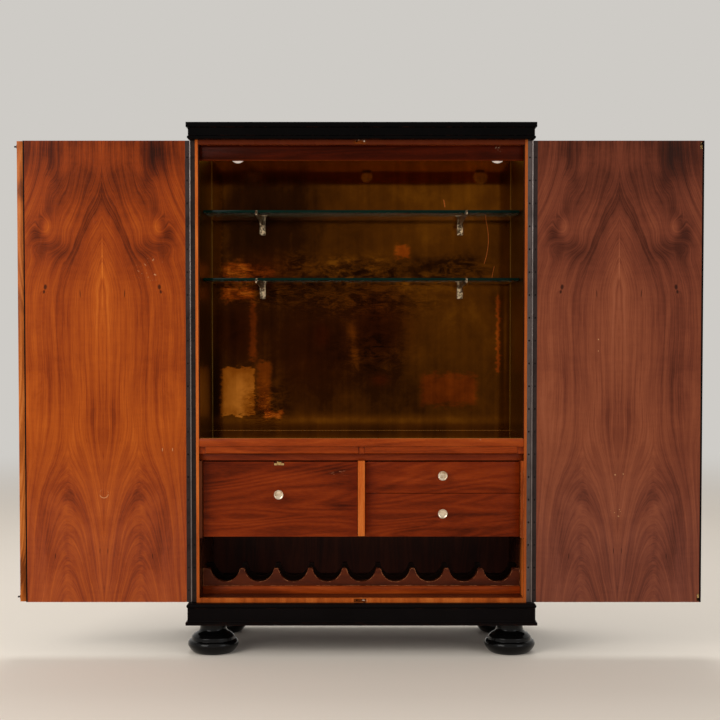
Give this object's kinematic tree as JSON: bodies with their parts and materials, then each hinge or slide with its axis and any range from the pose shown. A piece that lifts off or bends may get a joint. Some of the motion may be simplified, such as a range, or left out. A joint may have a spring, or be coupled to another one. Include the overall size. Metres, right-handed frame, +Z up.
{
  "type": "bar cabinet with fold out shelf",
  "caption": "Free-standing bar cabinet with full-height double doors, brass-lined bar with glass shelves, fold-out shelf, serving slides, drawers and bottle rack.",
  "frame": {"origin": "on the floor under the middle of the cabinet", "axes": "+Z up, -Y the front, +X the right-hand side as seen from the front"},
  "size_m": [1.963, 0.44, 1.5184],
  "materials": {
    "ebonised": "gloss black lacquer",
    "dark_carcass": "dark stained, matt",
    "walnut_lipping": "polished",
    "walnut_left": "figured veneer, french polished",
    "walnut_right": "figured veneer, french polished",
    "mahogany": "polished",
    "mahogany_dark": "polished, dark",
    "drawer_lining": "waxed",
    "brass_sheet": "polished sheet, aged and slightly dented",
    "glass": "clear plate with polished edges",
    "bright_steel": "nickel plated, worn",
    "aged_nickel": "nickel, aged",
    "hinge_steel": "plain steel, oxidised",
    "black_iron": "blackened",
    "bolt_brass": "aged",
    "lamp_holder": "moulded brown black",
    "lamp_glass": "frosted",
    "rubber_black": "matt"
  },
  "bodies": {
    "case": {"side_panel_left": "ebonised", "side_panel_right": "ebonised", "front_lippings": "walnut_lipping", "top_board": "dark_carcass", "bottom_board": "dark_carcass", "back_panel": "dark_carcass", "cable_grommet": "rubber_black", "cornice": "ebonised", "cap_board": "ebonised", "plinth_mouldings": "ebonised", "plinth_frame": "dark_carcass", "bun_feet": "ebonised", "lining_boards": "dark_carcass", "brass_sheets": "brass_sheet", "bar_floor_board": "mahogany", "pelmet": "mahogany_dark", "lamp_holders": "lamp_holder", "lamp_bulbs": "lamp_glass", "glass_shelves": "glass", "shelf_brackets": "bright_steel", "back_battens": "dark_carcass", "slide_bed": "mahogany", "slide_guides": "mahogany", "liners": "mahogany_dark", "centre_divider": "walnut_lipping", "partition_board": "mahogany_dark", "flap_pins": "hinge_steel", "drawer_runners": "drawer_lining", "rack_base": "mahogany_dark", "rack_rails": "mahogany_dark", "case_hinge_leaves": "hinge_steel", "hinge_pins": "hinge_steel", "strike_plates": "bright_steel"},
    "door_left": {"door_left_core": "ebonised", "door_left_veneer": "walnut_left", "door_left_edge": "ebonised", "door_left_lip": "walnut_lipping", "door_left_hinge_leaf": "hinge_steel", "lock_plates": "black_iron", "key_escutcheon": "bolt_brass"},
    "lock_bolts": {"lock_bolts": "black_iron"},
    "door_right": {"door_right_core": "ebonised", "door_right_veneer": "walnut_right", "door_right_edge": "ebonised", "door_right_hinge_leaf": "hinge_steel"},
    "flush_bolt_upper": {"flush_bolt_upper": "bolt_brass"},
    "flush_bolt_lower": {"flush_bolt_lower": "bolt_brass"},
    "flap": {"flap_panel": "mahogany", "flap_knob": "aged_nickel"},
    "flap_bolt": {"flap_bolt": "bolt_brass"},
    "slide_left": {"slide_left": "mahogany"},
    "slide_right": {"slide_right": "mahogany"},
    "drawer_upper": {"drawer_upper_front": "mahogany", "drawer_upper_box": "drawer_lining", "drawer_upper_knob": "aged_nickel"},
    "drawer_lower": {"drawer_lower_front": "mahogany", "drawer_lower_box": "drawer_lining", "drawer_lower_knob": "aged_nickel"}
  },
  "joints": [
    {"name": "door_left_hinge", "type": "hinge", "parent": "case", "child": "door_left", "pos_m": [-0.487, -0.1913, 0.806], "axis": [0, 0, -1], "range_deg": [-180, 0]},
    {"name": "lock_bolt_throw", "type": "slide", "parent": "door_left", "child": "lock_bolts", "axis": [-1, 0, 0], "range_m": [-0.009, 0]},
    {"name": "door_right_hinge", "type": "hinge", "parent": "case", "child": "door_right", "pos_m": [0.487, -0.1913, 0.806], "axis": [0, 0, 1], "range_deg": [-180, 0]},
    {"name": "flush_bolt_upper_throw", "type": "slide", "parent": "door_right", "child": "flush_bolt_upper", "axis": [0, 0, 1], "range_m": [0, 0.009]},
    {"name": "flush_bolt_lower_throw", "type": "slide", "parent": "door_right", "child": "flush_bolt_lower", "axis": [0, 0, -1], "range_m": [0, 0.009]},
    {"name": "flap_fold", "type": "hinge", "parent": "case", "child": "flap", "pos_m": [-0.233, -0.154, 0.3463], "axis": [1, 0, 0], "range_deg": [0, 90]},
    {"name": "flap_bolt_lift", "type": "slide", "parent": "flap", "child": "flap_bolt", "axis": [0, 0, 1], "range_m": [0, 0.008]},
    {"name": "slide_left_pull", "type": "slide", "parent": "case", "child": "slide_left", "axis": [0, -1, 0], "range_m": [0, 0.25]},
    {"name": "slide_right_pull", "type": "slide", "parent": "case", "child": "slide_right", "axis": [0, -1, 0], "range_m": [0, 0.25]},
    {"name": "drawer_upper_pull", "type": "slide", "parent": "case", "child": "drawer_upper", "axis": [0, -1, 0], "range_m": [0, 0.23]},
    {"name": "drawer_lower_pull", "type": "slide", "parent": "case", "child": "drawer_lower", "axis": [0, -1, 0], "range_m": [0, 0.23]}
  ]
}
